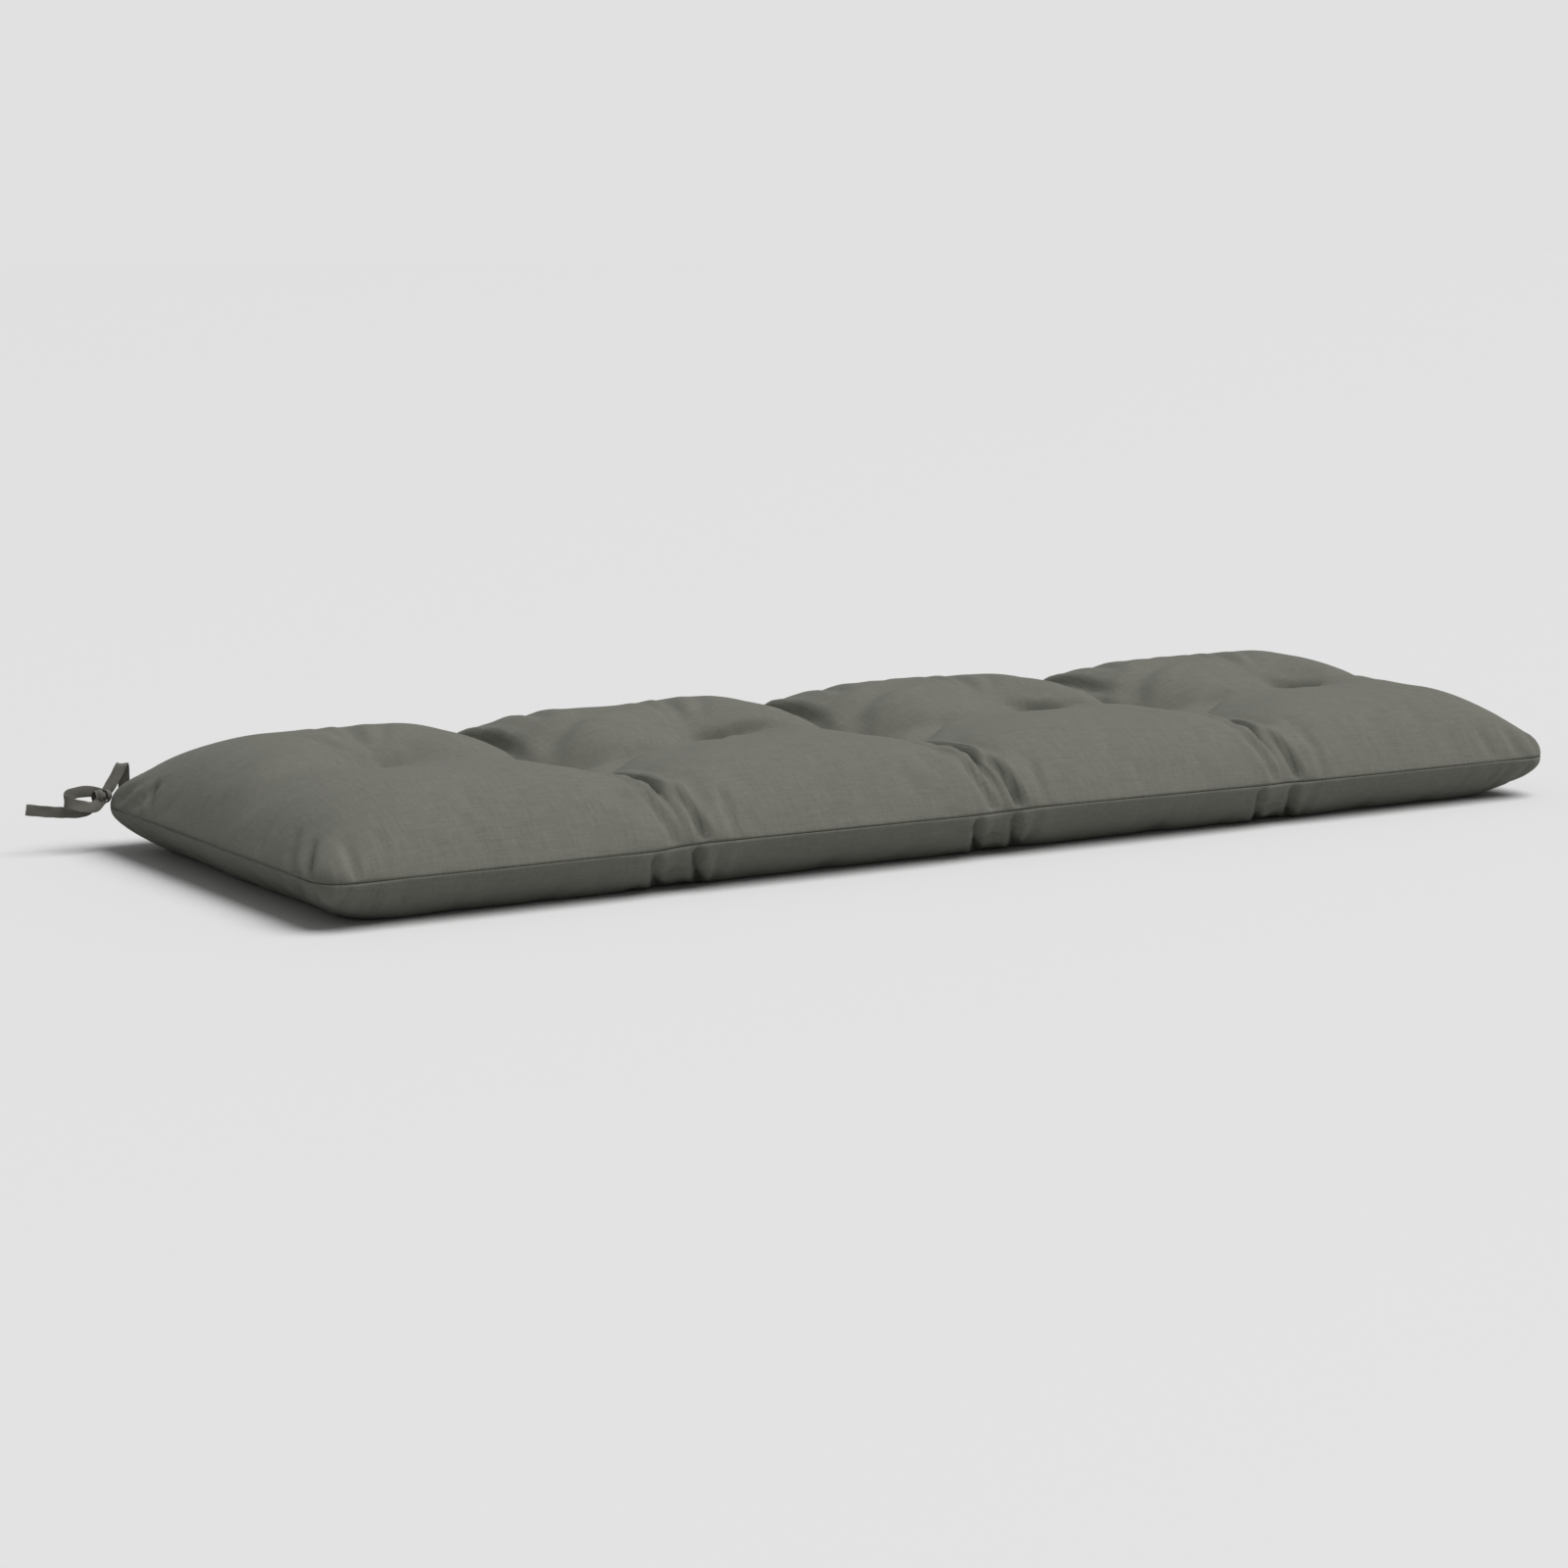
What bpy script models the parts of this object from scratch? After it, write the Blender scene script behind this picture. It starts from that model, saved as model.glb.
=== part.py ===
"""Garden bench cushion: four filled sections between three stitched channels, tufted through the middle
of every section and channel, with a knotted tape tie at each back corner.

Metres, +Z up. The origin is on the resting plane, under the middle of the cushion. X runs along the
length and the front edge is at -Y. Run it with: blender --background --python part.py
"""
import math
from collections import namedtuple

import bmesh
import bpy
from mathutils import Vector

# Cushion
LENGTH = 1.38  # from end seam to end seam
DEPTH = 0.50  # from front seam to back seam
SECTIONS = 4
SEAM_HEIGHT = 0.042  # the closing seam above the resting plane
CORNER_RADIUS = 0.030  # in plan
CHANNEL_DRAW_IN = 0.007  # how far a channel pulls the front and back seams inwards
DRAW_IN_REACH = 0.028
CHANNEL_COLUMNS = 18  # mesh columns in one section
DEPTH_ROWS = 26
COLUMN_CROWDING = 0.6  # 0 spaces columns evenly, 1 crowds them at the channels
ROW_CROWDING = 0.5

# How each cloth panel swells away from the seam, in metres. The base panel would swell past the resting
# plane, which flattens it there.
Panel = namedtuple("Panel", "crest channel end_reach side_reach channel_reach fullness spine tuft knot")
TOP = Panel(
    crest=0.077,  # rise at the crest of a section
    channel=0.050,  # rise along a channel
    end_reach=0.120,  # distance over which the ends curve over
    side_reach=0.135,  # the same at the front and back
    channel_reach=0.065,  # half width of a channel's valley
    fullness=0.70,  # under 1 is rounder at the seam
    spine=0.007,  # depth of the long trough down the middle
    tuft=0.022,  # extra depth at a section's tuft
    knot=0.018,  # extra depth where a channel is tufted
)
BASE = Panel(
    crest=0.053,
    channel=0.032,
    end_reach=0.105,
    side_reach=0.090,
    channel_reach=0.060,
    fullness=0.65,
    spine=0.003,
    tuft=0.026,
    knot=0.012,
)
CHANNEL_FULLNESS = 0.9  # of the sections beside a channel
SPINE_HALF_WIDTH = 0.090
TUFT_REACH = 0.040  # across the depth
TUFT_STRETCH = 1.5  # a tuft's hollow is longer than it is deep
KNOT_REACH = 0.045

# Tape ties
TAPE_WIDTH = 0.011
TAPE_THICKNESS = 0.0012
TAPE_STEPS = 5  # mesh steps between two stations of a route
KNOT_CENTRE = (0.0035, -0.0135, 0.0095)  # out, back and up, as in the routes below
KNOT_RADII = (0.0078, 0.0062, 0.0058)

# A tie's route from its back corner. out is away from the cushion's end, back is from the back seam's
# line, up is from the seam's height. along, leans and stands are the direction of the tape's width there:
# outwards, backwards and upwards. The foot's width lies along the seam.
Station = namedtuple("Station", "out back up along leans stands")
UPRIGHT_LOOP = (
    Station(-0.0165, -0.0020, 0.0000, 0.90, -0.40, 0.00),
    Station(-0.0168, -0.0020, 0.0120, 0.94, -0.30, 0.05),
    Station(-0.0170, -0.0022, 0.0270, 0.98, -0.15, 0.10),
    Station(-0.0160, -0.0038, 0.0362, 1.00, -0.05, 0.05),
    Station(-0.0148, -0.0068, 0.0362, 1.00, 0.00, -0.05),
    Station(-0.0095, -0.0095, 0.0270, 0.93, -0.10, -0.35),
    Station(-0.0040, -0.0115, 0.0190, 0.90, -0.15, -0.42),
    Station(0.0025, -0.0130, 0.0105, 0.88, -0.20, -0.45),
)
SIDE_LOOP = (
    Station(0.0045, -0.0120, 0.0115, 0.00, -0.50, 0.86),
    Station(0.0150, -0.0085, 0.0150, 0.00, -0.50, 0.86),
    Station(0.0270, -0.0060, 0.0152, 0.00, -0.50, 0.86),
    Station(0.0370, -0.0085, 0.0122, 0.00, -0.50, 0.86),
    Station(0.0415, -0.0145, 0.0085, 0.00, -0.50, 0.86),
    Station(0.0370, -0.0205, 0.0045, 0.00, -0.50, 0.86),
    Station(0.0260, -0.0235, 0.0022, 0.00, -0.50, 0.86),
    Station(0.0150, -0.0215, 0.0030, 0.00, -0.50, 0.86),
    Station(0.0045, -0.0155, 0.0085, 0.00, -0.50, 0.86),
)
FREE_END = (
    Station(0.0050, -0.0130, 0.0070, 0.00, -0.50, 0.86),
    Station(0.0120, -0.0110, -0.0010, 0.15, -0.55, 0.80),
    Station(0.0220, -0.0115, -0.0045, 0.05, -0.60, 0.80),
    Station(0.0450, -0.0130, -0.0030, 0.00, -0.60, 0.80),
    Station(0.0790, -0.0140, 0.0025, 0.00, -0.60, 0.80),
)

# Finishes: linear colour and roughness
CLOTH_COLOUR = (0.172, 0.172, 0.147, 1.0)
TAPE_COLOUR = (0.150, 0.146, 0.124, 1.0)
CLOTH_ROUGHNESS = 0.9


def clear_scene():
    for item in list(bpy.data.objects):
        bpy.data.objects.remove(item, do_unlink=True)


def new_collection(name):
    collection = bpy.data.collections.new(name)
    bpy.context.scene.collection.children.link(collection)
    return collection


def new_material(name, colour):
    material = bpy.data.materials.new(name)
    material.use_nodes = True
    shader = material.node_tree.nodes["Principled BSDF"]
    shader.inputs["Base Color"].default_value = colour
    shader.inputs["Roughness"].default_value = CLOTH_ROUGHNESS
    shader.inputs["Metallic"].default_value = 0.0
    return material


def new_object(name, bm, collection, material):
    mesh = bpy.data.meshes.new(name)
    bm.to_mesh(mesh)
    bm.free()
    mesh.shade_smooth()
    mesh.materials.append(material)
    item = bpy.data.objects.new(name, mesh)
    collection.objects.link(item)
    return item


def swell(distance, reach, fullness):
    """How far a panel has risen at a distance from a seam: 0 on the seam and 1 from reach on."""
    left = 1.0 - min(max(distance / reach, 0.0), 1.0)
    return (1.0 - left * left) ** fullness


def lower_of(a, b):
    """The lower of two rises, blended where they are alike."""
    if min(a, b) <= 0.0:
        return 0.0
    return (a**-2 + b**-2 - 1.0) ** -0.5


def hollow(dx, dy, reach_x, reach_y):
    return math.exp(-((dx / reach_x) ** 2) - (dy / reach_y) ** 2)


def section_length():
    return LENGTH / SECTIONS


def channel_places():
    return [(k - SECTIONS / 2) * section_length() for k in range(1, SECTIONS)]


def tuft_places():
    return [(k + 0.5 - SECTIONS / 2) * section_length() for k in range(SECTIONS)]


def rise_at(x, y, panel):
    """How far a panel stands away from the height of the seam, at one point of the plan."""
    ends = swell(LENGTH / 2 - abs(x), panel.end_reach, panel.fullness)
    sides = swell(DEPTH / 2 - abs(y), panel.side_reach, panel.fullness)
    to_channel = min(abs(x - place) for place in channel_places())
    puff = swell(to_channel, panel.channel_reach, CHANNEL_FULLNESS)
    rise = panel.channel + (panel.crest - panel.channel) * puff
    rise -= panel.spine * math.exp(-((y / SPINE_HALF_WIDTH) ** 2))
    for place in tuft_places():
        rise -= panel.tuft * hollow(x - place, y, TUFT_REACH * TUFT_STRETCH, TUFT_REACH)
    for place in channel_places():
        rise -= panel.knot * hollow(x - place, y, KNOT_REACH, KNOT_REACH)
    return rise * lower_of(ends, sides)


def outline(x, y):
    """Rounds the corners in plan, and draws the long seams in at the ends of the channels."""
    across = [max(abs(value) - half + CORNER_RADIUS, 0.0) / CORNER_RADIUS
              for value, half in ((x, LENGTH / 2), (y, DEPTH / 2))]
    if min(across) > 0.0:
        round_x = across[0] * math.sqrt(1.0 - across[1] ** 2 / 2)
        round_y = across[1] * math.sqrt(1.0 - across[0] ** 2 / 2)
        x = math.copysign(LENGTH / 2 + CORNER_RADIUS * (round_x - 1.0), x)
        y = math.copysign(DEPTH / 2 + CORNER_RADIUS * (round_y - 1.0), y)
    pull = sum(math.exp(-(((x - place) / DRAW_IN_REACH) ** 2)) for place in channel_places())
    return x, y * (1.0 - 2 * CHANNEL_DRAW_IN / DEPTH * pull * (2 * y / DEPTH) ** 2)


def crowded(count, crowding):
    """Fractions from 0 to 1 in count steps, closer together towards both ends."""
    even = [k / count for k in range(count + 1)]
    return [(1 - crowding) * t + crowding * (0.5 - 0.5 * math.cos(math.pi * t)) for t in even]


def grid_places():
    """The plan's grid lines: crowded at the channels and ends, and at the front and back seams."""
    steps = crowded(CHANNEL_COLUMNS, COLUMN_CROWDING)
    columns = [-LENGTH / 2]
    for section in range(SECTIONS):
        columns += [(section + t - SECTIONS / 2) * section_length() for t in steps[1:]]
    rows = [(t - 0.5) * DEPTH for t in crowded(DEPTH_ROWS, ROW_CROWDING)]
    return columns, rows


def panel_mesh(panel, upwards):
    """One cloth panel: a grid laid over the plan and swollen up or down from the seam."""
    columns, rows = grid_places()
    last_column, last_row = len(columns) - 1, len(rows) - 1
    bm = bmesh.new()
    bmesh.ops.create_grid(bm, x_segments=last_column, y_segments=last_row, size=0.5)
    for vert in bm.verts:
        x = columns[round((vert.co.x + 0.5) * last_column)]
        y = rows[round((vert.co.y + 0.5) * last_row)]
        rise = rise_at(x, y, panel)
        height = SEAM_HEIGHT + rise if upwards else max(SEAM_HEIGHT - rise, 0.0)
        vert.co = Vector((*outline(x, y), height))
    if not upwards:
        bmesh.ops.reverse_faces(bm, faces=bm.faces)
    return bm


def make_cushion(collection):
    """The two panels sewn together round their edge: one closed, filled body."""
    bm = panel_mesh(TOP, upwards=True)
    base = panel_mesh(BASE, upwards=False)
    base_mesh = bpy.data.meshes.new("base_panel")
    base.to_mesh(base_mesh)
    base.free()
    bm.from_mesh(base_mesh)
    bpy.data.meshes.remove(base_mesh)
    seam = [vert for vert in bm.verts if vert.is_boundary]
    bmesh.ops.remove_doubles(bm, verts=seam, dist=1e-6)
    bmesh.ops.recalc_face_normals(bm, faces=bm.faces)
    return new_object("cushion", bm, collection, new_material("cushion_cloth", CLOTH_COLOUR))


def placed(station, side):
    """A station's centre, and the direction of the tape's width there."""
    centre = Vector((side * (LENGTH / 2 + station.out), DEPTH / 2 + station.back, SEAM_HEIGHT + station.up))
    width = Vector((side * station.along, station.leans, station.stands))
    return centre, width.normalized()


def smooth_between(values, k, t):
    """Catmull-Rom between values[k] and values[k + 1]."""
    before, start = values[max(k - 1, 0)], values[k]
    end, after = values[k + 1], values[min(k + 2, len(values) - 1)]
    return 0.5 * (
        2 * start
        + (end - before) * t
        + (2 * before - 5 * start + 4 * end - after) * t**2
        + (3 * start - before - 3 * end + after) * t**3
    )


def make_tape(name, route, side, collection, material):
    """A tape along a route: an open strip as wide as the tape, given its thickness."""
    centres, widths = zip(*(placed(station, side) for station in route))
    bm = bmesh.new()
    edge = None
    for step in range((len(route) - 1) * TAPE_STEPS + 1):
        k, t = divmod(step, TAPE_STEPS)
        if k == len(route) - 1:
            k, t = k - 1, TAPE_STEPS
        centre = smooth_between(centres, k, t / TAPE_STEPS)
        reach = smooth_between(widths, k, t / TAPE_STEPS).normalized() * TAPE_WIDTH / 2
        new_edge = [bm.verts.new(centre - reach), bm.verts.new(centre + reach)]
        if edge:
            bm.faces.new((edge[0], edge[1], new_edge[1], new_edge[0]))
        edge = new_edge
    tape = new_object(name, bm, collection, material)
    solidify = tape.modifiers.new("thickness", "SOLIDIFY")
    solidify.thickness = TAPE_THICKNESS
    solidify.offset = 0.0
    return tape


def make_knot(name, side, collection, material):
    bm = bmesh.new()
    bmesh.ops.create_uvsphere(bm, u_segments=16, v_segments=10, radius=1.0)
    out, back, up = KNOT_CENTRE
    centre = Vector((side * (LENGTH / 2 + out), DEPTH / 2 + back, SEAM_HEIGHT + up))
    for vert in bm.verts:
        vert.co = centre + Vector(co * radius for co, radius in zip(vert.co, KNOT_RADII))
    return new_object(name, bm, collection, material)


def make_tie(name, side, parts, cutters):
    """One tie: its standing loop, its side loop, its free end and its knot, joined into one body."""
    material = new_material(name + "_tape", TAPE_COLOUR)
    tie = make_knot(name, side, parts, material)
    for label, route in (("upright", UPRIGHT_LOOP), ("side", SIDE_LOOP), ("end", FREE_END)):
        tape = make_tape(f"{name}_{label}", route, side, cutters, material)
        tape.hide_render = True
        tape.display_type = "WIRE"
        join = tie.modifiers.new(label, "BOOLEAN")
        join.operation = "UNION"
        join.solver = "EXACT"
        join.object = tape
    return tie


def main():
    clear_scene()
    parts = new_collection("bench_cushion")
    cutters = new_collection("cutters")
    make_cushion(parts)
    make_tie("tie_left", -1, parts, cutters)
    make_tie("tie_right", 1, parts, cutters)


main()
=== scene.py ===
import bpy, math
import numpy as np
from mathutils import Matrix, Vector


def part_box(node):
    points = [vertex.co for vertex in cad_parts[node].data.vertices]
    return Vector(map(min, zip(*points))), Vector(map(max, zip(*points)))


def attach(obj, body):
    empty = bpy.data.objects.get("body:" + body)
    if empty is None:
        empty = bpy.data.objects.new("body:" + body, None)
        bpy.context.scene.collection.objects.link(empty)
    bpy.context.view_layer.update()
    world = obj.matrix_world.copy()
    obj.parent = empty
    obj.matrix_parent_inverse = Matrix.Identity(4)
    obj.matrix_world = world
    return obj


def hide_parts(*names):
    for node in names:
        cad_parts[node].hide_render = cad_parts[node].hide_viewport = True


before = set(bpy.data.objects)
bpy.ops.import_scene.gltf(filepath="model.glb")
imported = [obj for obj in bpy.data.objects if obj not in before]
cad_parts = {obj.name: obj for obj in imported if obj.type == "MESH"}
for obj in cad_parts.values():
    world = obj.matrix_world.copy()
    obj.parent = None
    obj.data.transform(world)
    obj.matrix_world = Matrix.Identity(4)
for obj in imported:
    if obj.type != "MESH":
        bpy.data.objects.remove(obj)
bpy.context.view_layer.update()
scene = bpy.context.scene
padLow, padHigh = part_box("cushion")

cushion = {
    "length": padHigh.x - padLow.x,
    "depth": padHigh.y - padLow.y,
    "sections": 4,
    "seamHeight": 0.042,      # closing seam above the resting plane
    "cornerRadius": 0.030,
    "drawIn": 0.004,          # the long seams are pulled in at the channels
    "drawInReach": 0.022,
    "seamTuck": 0.0017,       # the seam lies in a groove this deep
    "seamPlain": 0.0035,      # creases fade out over the last stretch before the seam
    "seamRoll": {"part": 0.25, "width": 0.0012},   # the cloth beside the groove rolls out this part of it
    "meshStep": 0.0044,
    "edgeRows": (0.0, 0.00008, 0.0007, 0.0024, 0.0050),   # rows of points beside the seam
    "fill": 0.85,
}
# how far each panel stands off the seam, in metres. A reach is how far in from an edge the panel goes on
# rising; endReach has the left end's first. Valley is a channel's depth from front to back. Its width and the
# curve of its slopes are given left and right of its lowest line, at the front and at the back, and towards
# the back that line moves sideways by valleyShift. Tuft and knot are the depths pulled in by the stitches.
topPanel = {
    "front": 0.0665, "back": 0.077,
    "endReach": (0.120, 0.098), "frontReach": 0.120, "backReach": 0.145,
    "fullness": 0.70,
    "valley": (0.000, 0.002, 0.016, 0.025, 0.028, 0.029, 0.030, 0.029, 0.021, 0.006, 0.000),
    "valleyShift": -0.014,
    "valleyLeft": {"width": (0.047, 0.046), "curve": (2.0, 2.0)},
    "valleyRight": {"width": (0.052, 0.050), "curve": (2.0, 1.6)},
    "trough": 1.0, "tuft": 0.019, "knot": 0.010,
}
basePanel = {
    "front": 0.051, "back": 0.051,
    "endReach": (0.105, 0.105), "frontReach": 0.085, "backReach": 0.085,
    "fullness": 0.62,
    "valley": (0.000, 0.001, 0.008, 0.014, 0.016, 0.016, 0.016, 0.014, 0.008, 0.001, 0.000),
    "valleyShift": 0.0,
    "valleyLeft": {"width": (0.030, 0.030), "curve": (2.0, 2.0)},
    "valleyRight": {"width": (0.030, 0.030), "curve": (2.0, 2.0)},
    "trough": 0.5, "tuft": 0.024, "knot": 0.012,
}
panelShape = {
    "crestBand": 0.07,              # the crest goes from front to back height this far each way of the middle
    "valleyRows": (0.42, 0.72),     # parts of the depth where a valley has its front and its back shape
    "shiftRows": (0.50, 1.05),      # parts of the depth where a valley's shift begins and where it has gone
    "shiftOver": 0.25,              # it comes and goes over this part
    "tuftReach": (0.038, 0.030),    # how far a stitch's pull spreads, along the length and the depth
    "knotReach": (0.030, 0.040),
}
# the trough through the tufts: places across a section, and its depth and its line there (0 front, 1 back)
troughShape = {
    "across": (0.00, 0.12, 0.25, 0.40, 0.50, 0.62, 0.75, 0.88, 1.00),
    "deep": (0.000, 0.011, 0.016, 0.016, 0.014, 0.014, 0.012, 0.005, 0.000),
    "line": (0.46, 0.43, 0.45, 0.48, 0.51, 0.50, 0.49, 0.49, 0.48),
    "width": (0.046, 0.040),        # towards the front and the back
    "curve": 1.4,
    # in parts of a section: left of the first tuft it is short, and it fades out before the right end
    "leftEnd": {"deep": 0.008, "width": 0.10},
    "rightEnd": {"clear": 0.16, "over": 0.22},
}

sectionLength = cushion["length"] / cushion["sections"]
channelPlaces = [(k - cushion["sections"] / 2) * sectionLength for k in range(1, cushion["sections"])]
sectionMiddles = [(k + 0.5 - cushion["sections"] / 2) * sectionLength for k in range(cushion["sections"])]
# where each section's tuft pulls, off the section's middle, and its part of the panel's tuft depth
tuftPulls = ({"off": (-0.012, -0.006), "part": 1.0}, {"off": (0.004, 0.012), "part": 0.9},
             {"off": (0.034, -0.004), "part": 0.7}, {"off": (0.032, -0.006), "part": 0.7})
tufts = [(middle + pull["off"][0], pull["off"][1], pull["part"])
         for middle, pull in zip(sectionMiddles, tuftPulls)]


def acrossPlace(u):
    return (u - cushion["sections"] / 2) * sectionLength     # u counts sections from the left end


def depthPlace(v):
    return (v - 0.5) * cushion["depth"]                      # v goes from 0 at the front to 1 at the back


def swell(distance, reach, fullness):
    # from 0 at an edge to 1 at its reach
    left = 1 - np.clip(distance / reach, 0, 1)
    return (1 - left * left) ** fullness


def lowerOf(a, b):
    # about the lower of two rises, rounded where they meet
    a, b = np.maximum(a, 1e-6), np.maximum(b, 1e-6)
    return np.where(np.minimum(a, b) <= 1e-6, 0.0, (a**-2 + b**-2 - 1) ** -0.5)


def hollow(dx, dy, reachX, reachY):
    # 1 in the middle of a dent and 0 well outside it
    return np.exp(-((dx / reachX) ** 2) - (dy / reachY) ** 2)


def smoothStep(t):
    t = np.clip(t, 0, 1)
    return t * t * (3 - 2 * t)


def troughAt(x, y):
    u = x / sectionLength + cushion["sections"] / 2
    within = u - np.clip(np.floor(u), 0, cushion["sections"] - 1)
    deep = np.interp(within, troughShape["across"], troughShape["deep"])
    left, right = troughShape["leftEnd"], troughShape["rightEnd"]
    deep = np.where(u < 0.5, left["deep"] * np.exp(-(((0.5 - u) / left["width"]) ** 2)), deep)
    deep = deep * smoothStep((cushion["sections"] - right["clear"] - u) / right["over"])
    line = depthPlace(np.interp(within, troughShape["across"], troughShape["line"]))
    width = np.where(y < line, *troughShape["width"])
    return deep * np.exp(-(abs((y - line) / width) ** troughShape["curve"]))


# shallow dents, placed by sections across and part of the depth
dents = ({"at": (1.42, 0.78), "deep": 0.006, "reach": (0.055, 0.050)},
         {"at": (0.45, 0.80), "deep": 0.003, "reach": (0.120, 0.060)},
         {"at": (2.62, 0.72), "deep": 0.003, "reach": (0.050, 0.040)},
         {"at": (1.18, 0.33), "deep": 0.004, "reach": (0.040, 0.035)},
         {"at": (3.55, 0.30), "deep": 0.002, "reach": (0.060, 0.040)})


def dentsAt(x, y):
    sink = 0
    for dent in dents:
        u, v = dent["at"]
        sink = sink + dent["deep"] * hollow(x - acrossPlace(u), y - depthPlace(v), *dent["reach"])
    return sink


def riseAt(x, y, panel):
    ends = swell(cushion["length"] / 2 - abs(x), np.where(x < 0, *panel["endReach"]), panel["fullness"])
    sides = np.where(y < 0, swell(cushion["depth"] / 2 + y, panel["frontReach"], panel["fullness"]),
                     swell(cushion["depth"] / 2 - y, panel["backReach"], panel["fullness"]))
    band = panelShape["crestBand"]
    crest = panel["front"] + (panel["back"] - panel["front"]) * smoothStep((y + band) / (2 * band))
    rise = crest * lowerOf(ends, sides)
    v = y / cushion["depth"] + 0.5
    valley = np.interp(v, np.linspace(0, 1, len(panel["valley"])), panel["valley"])
    left, right = ([np.interp(v, panelShape["valleyRows"], panel[side][key]) for key in ("width", "curve")]
                   for side in ("valleyLeft", "valleyRight"))
    (shiftFrom, shiftTo), over = panelShape["shiftRows"], panelShape["shiftOver"]
    shift = panel["valleyShift"] * smoothStep((v - shiftFrom) / over) * smoothStep((shiftTo - v) / over)
    for place in channelPlaces:
        line = place + shift
        width, curve = (np.where(x < line, a, b) for a, b in zip(left, right))
        rise = rise - valley * np.exp(-((abs(x - line) / width) ** curve))
        rise = rise - panel["knot"] * hollow(x - place, y, *panelShape["knotReach"])
    rise = rise - panel["trough"] * (troughAt(x, y) + dentsAt(x, y))
    for tuftX, tuftY, part in tufts:
        rise = rise - part * panel["tuft"] * hollow(x - tuftX, y - tuftY, *panelShape["tuftReach"])
    return np.maximum(rise, 0)


def outline(x, y):
    # the cushion seen from above, with round corners and drawn in at the channels
    halfL, halfD, radius = cushion["length"] / 2, cushion["depth"] / 2, cushion["cornerRadius"]
    ax = np.maximum(abs(x) - halfL + radius, 0) / radius
    ay = np.maximum(abs(y) - halfD + radius, 0) / radius
    inCorner = (ax > 0) & (ay > 0)
    cx = np.where(inCorner, np.sign(x) * (halfL + radius * (ax * np.sqrt(1 - ay**2 / 2) - 1)), x)
    cy = np.where(inCorner, np.sign(y) * (halfD + radius * (ay * np.sqrt(1 - ax**2 / 2) - 1)), y)
    pull = sum(np.exp(-(((x - place) / cushion["drawInReach"]) ** 2)) for place in channelPlaces)
    return cx, cy * (1 - cushion["drawIn"] / halfD * pull * (2 * y / cushion["depth"]) ** 2)


def gridLines(half, step, close):
    # even lines, with closer ones beside both edges
    inner = half - close[-1]
    count = int(round(2 * inner / step))
    return np.array([-half + c for c in close[:-1]] + list(np.linspace(-inner, inner, count + 1))
                    + [half - c for c in reversed(close[:-1])])


# the cover is two panels over one grid, which share the seam's points
def layCover(step, close):
    columns = gridLines(cushion["length"] / 2, step, close)
    rows = gridLines(cushion["depth"] / 2, step, close)
    x, y = np.meshgrid(columns, rows)
    planX, planY = outline(x, y)
    seam = np.zeros(x.shape, bool)
    seam[[0, -1], :] = seam[:, [0, -1]] = True
    topIndex = np.arange(x.size).reshape(x.shape)
    baseIndex = topIndex.copy()
    baseIndex[~seam] = x.size + np.arange((~seam).sum())
    return {"columns": columns, "rows": rows, "x": x, "y": y, "planX": planX, "planY": planY, "seam": seam,
            "topIndex": topIndex, "baseIndex": baseIndex}


def panelFaces(index, upwards):
    a, b, c, d = index[:-1, :-1], index[:-1, 1:], index[1:, 1:], index[1:, :-1]
    return np.stack([a, b, c, d] if upwards else [d, c, b, a], -1).reshape(-1, 4)


def cornerOrder(grid, upwards):
    rows, columns = np.indices(grid["x"].shape)
    return tuple(panelFaces(index, upwards).ravel() for index in (rows, columns))


def makeCover(name, grid, top, base):
    points = np.concatenate([top.reshape(-1, 3), base.reshape(-1, 3)[~grid["seam"].ravel()]])
    faces = np.concatenate([panelFaces(grid["topIndex"], True), panelFaces(grid["baseIndex"], False)])
    mesh = bpy.data.meshes.new(name)
    mesh.from_pydata(points.tolist(), [], faces.tolist())
    mesh.update()
    piece = bpy.data.objects.new(name, mesh)
    scene.collection.objects.link(piece)
    return piece


# the front seam climbs a little past the channels, as the gathers there pull it
seamWave = {
    "across": (0.0, 0.95, 1.08, 1.5, 2.0, 2.12, 2.6, 3.0, 4.0),
    "lift": (0.0, 0.000, 0.0030, 0.0025, 0.0015, 0.0035, 0.0020, 0.0005, 0.0),
    "backPart": 0.6,          # the back seam has this part of it, with left and right changed over
    "fade": 2.4,
    "panelFade": 0.07,        # it is gone where the panel has risen this far
}


def seamLift(x, y):
    u = x / sectionLength + cushion["sections"] / 2
    front, back = (np.interp(place, seamWave["across"], seamWave["lift"])
                   for place in (u, cushion["sections"] - u))
    towardsBack = y / cushion["depth"] * seamWave["fade"]
    return front * smoothStep(-towardsBack) + seamWave["backPart"] * back * smoothStep(towardsBack)


def clothPlaces(points):
    # distance run along the cloth from the panel's middle lines, across and along the depth
    across = np.cumsum(np.linalg.norm(np.diff(points, axis=1, prepend=points[:, :1]), axis=2), axis=1)
    along = np.cumsum(np.linalg.norm(np.diff(points, axis=0, prepend=points[:1]), axis=2), axis=0)
    middleRow, middleColumn = points.shape[0] // 2, points.shape[1] // 2
    return np.stack([across - across[:, middleColumn:middleColumn + 1],
                     along - along[middleRow:middleRow + 1, :]], -1)


def markCloth(piece, places):
    layer = piece.data.uv_layers.new(name="cloth")
    layer.data.foreach_set("uv", places.astype(np.float32).ravel())


def panelPoints(grid, rise):
    nearSeam = 1 - np.clip(abs(rise) / seamWave["panelFade"], 0, 1)
    height = cushion["seamHeight"] + rise + seamLift(grid["x"], grid["y"]) * nearSeam
    return np.stack([grid["planX"], grid["planY"], height], -1)


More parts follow.
